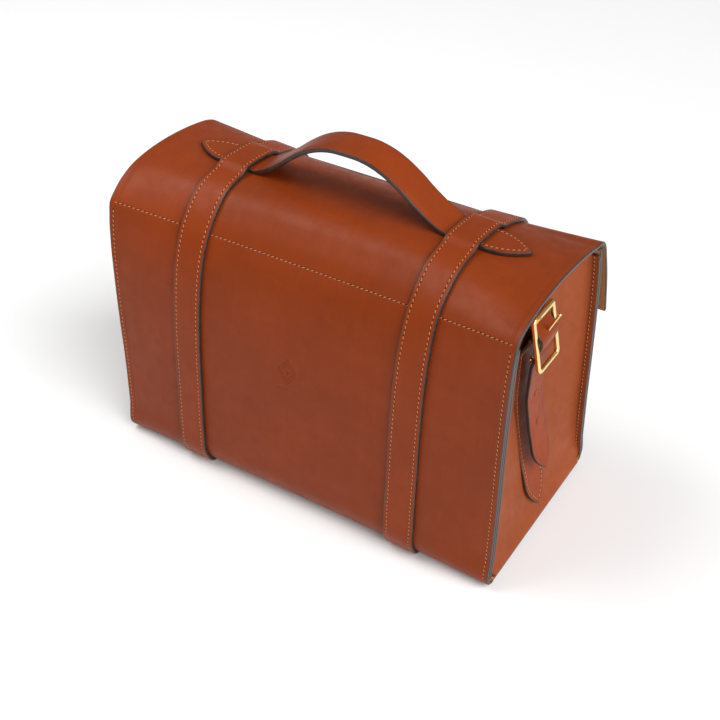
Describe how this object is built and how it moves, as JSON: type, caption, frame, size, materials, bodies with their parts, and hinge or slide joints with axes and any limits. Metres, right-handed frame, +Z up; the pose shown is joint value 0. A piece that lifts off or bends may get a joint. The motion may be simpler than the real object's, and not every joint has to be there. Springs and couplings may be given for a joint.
{
  "type": "flight bag",
  "caption": "Leather flight bag with a hinged lid, strap handle, lid straps on brass roller buckles and studs, end gussets and a stowed shoulder strap.",
  "frame": {"origin": "bottom centre of the whole bag's box, on the surface it stands on", "axes": "+X along the bag's length, +Y towards the back where the lid is hinged, -Y the side with the flap and buckles, +Z up"},
  "size_m": [0.441, 0.2398, 0.3585],
  "materials": {
    "bridle_leather": "smooth waxed",
    "strap_leather": "smooth waxed",
    "base_board": "flesh side",
    "brass": "polished"
  },
  "bodies": {
    "bag": {"body_wrap": "bridle_leather", "base_board": "base_board", "hinge_strip": "bridle_leather", "shoulder_strap": "strap_leather", "gusset_left": "bridle_leather", "back_welt_left": "bridle_leather", "base_strap_left": "strap_leather", "closure_stud_left": "brass", "end_chape_left": "strap_leather", "end_rivet_left": "brass", "gusset_right": "bridle_leather", "back_welt_right": "bridle_leather", "base_strap_right": "strap_leather", "closure_stud_right": "brass", "end_chape_right": "strap_leather", "end_rivet_right": "brass"},
    "lid": {"lid": "bridle_leather", "handle": "strap_leather", "lid_strap_left": "strap_leather", "lid_strap_right": "strap_leather"},
    "closure_left": {"closure_billet_left": "strap_leather", "closure_chape_left": "strap_leather", "front_buckle_frame_left": "brass"},
    "front_roller_left": {"front_roller_left": "brass"},
    "front_prong_left": {"front_prong_left": "brass"},
    "end_buckle_left": {"end_buckle_frame_left": "brass", "shoulder_billet_left": "strap_leather"},
    "end_roller_left": {"end_roller_left": "brass"},
    "end_prong_left": {"end_prong_left": "brass"},
    "closure_right": {"closure_billet_right": "strap_leather", "closure_chape_right": "strap_leather", "front_buckle_frame_right": "brass"},
    "front_roller_right": {"front_roller_right": "brass"},
    "front_prong_right": {"front_prong_right": "brass"},
    "end_buckle_right": {"end_buckle_frame_right": "brass", "shoulder_billet_right": "strap_leather"},
    "end_roller_right": {"end_roller_right": "brass"},
    "end_prong_right": {"end_prong_right": "brass"}
  },
  "joints": [
    {"name": "lid_hinge", "type": "hinge", "parent": "bag", "child": "lid", "pos_m": [0, 0.09754, 0.282], "axis": [-1, 0, 0], "range_deg": [0, 120]},
    {"name": "closure_left_lift", "type": "hinge", "parent": "lid", "child": "closure_left", "pos_m": [-0.125, -0.11186, 0.1886], "axis": [-1, 0, 0], "range_deg": [0, 90]},
    {"name": "front_roller_left_spin", "type": "hinge", "parent": "closure_left", "child": "front_roller_left", "pos_m": [-0.125, -0.11184, 0.17712], "axis": [1, 0, 0], "continuous": true},
    {"name": "front_prong_left_lift", "type": "hinge", "parent": "closure_left", "child": "front_prong_left", "pos_m": [-0.125, -0.10948, 0.15323], "axis": [1, 0, 0], "range_deg": [0, 28]},
    {"name": "end_buckle_left_swing", "type": "hinge", "parent": "bag", "child": "end_buckle_left", "pos_m": [-0.20641, 0.00374, 0.2302], "axis": [0, 1, 0], "range_deg": [0, 4]},
    {"name": "end_roller_left_spin", "type": "hinge", "parent": "end_buckle_left", "child": "end_roller_left", "pos_m": [-0.20203, 0.00374, 0.25379], "axis": [0, 1, 0], "continuous": true},
    {"name": "end_prong_left_lift", "type": "hinge", "parent": "end_buckle_left", "child": "end_prong_left", "pos_m": [-0.20641, 0.00374, 0.2302], "axis": [0, -1, 0], "range_deg": [-22, 6]},
    {"name": "closure_right_lift", "type": "hinge", "parent": "lid", "child": "closure_right", "pos_m": [0.125, -0.11186, 0.1886], "axis": [-1, 0, 0], "range_deg": [0, 90]},
    {"name": "front_roller_right_spin", "type": "hinge", "parent": "closure_right", "child": "front_roller_right", "pos_m": [0.125, -0.11184, 0.17712], "axis": [1, 0, 0], "continuous": true},
    {"name": "front_prong_right_lift", "type": "hinge", "parent": "closure_right", "child": "front_prong_right", "pos_m": [0.125, -0.10948, 0.15323], "axis": [1, 0, 0], "range_deg": [0, 28]},
    {"name": "end_buckle_right_swing", "type": "hinge", "parent": "bag", "child": "end_buckle_right", "pos_m": [0.20641, 0.00374, 0.2302], "axis": [0, -1, 0], "range_deg": [0, 4]},
    {"name": "end_roller_right_spin", "type": "hinge", "parent": "end_buckle_right", "child": "end_roller_right", "pos_m": [0.20203, 0.00374, 0.25379], "axis": [0, 1, 0], "continuous": true},
    {"name": "end_prong_right_lift", "type": "hinge", "parent": "end_buckle_right", "child": "end_prong_right", "pos_m": [0.20641, 0.00374, 0.2302], "axis": [0, 1, 0], "range_deg": [-22, 6]}
  ]
}
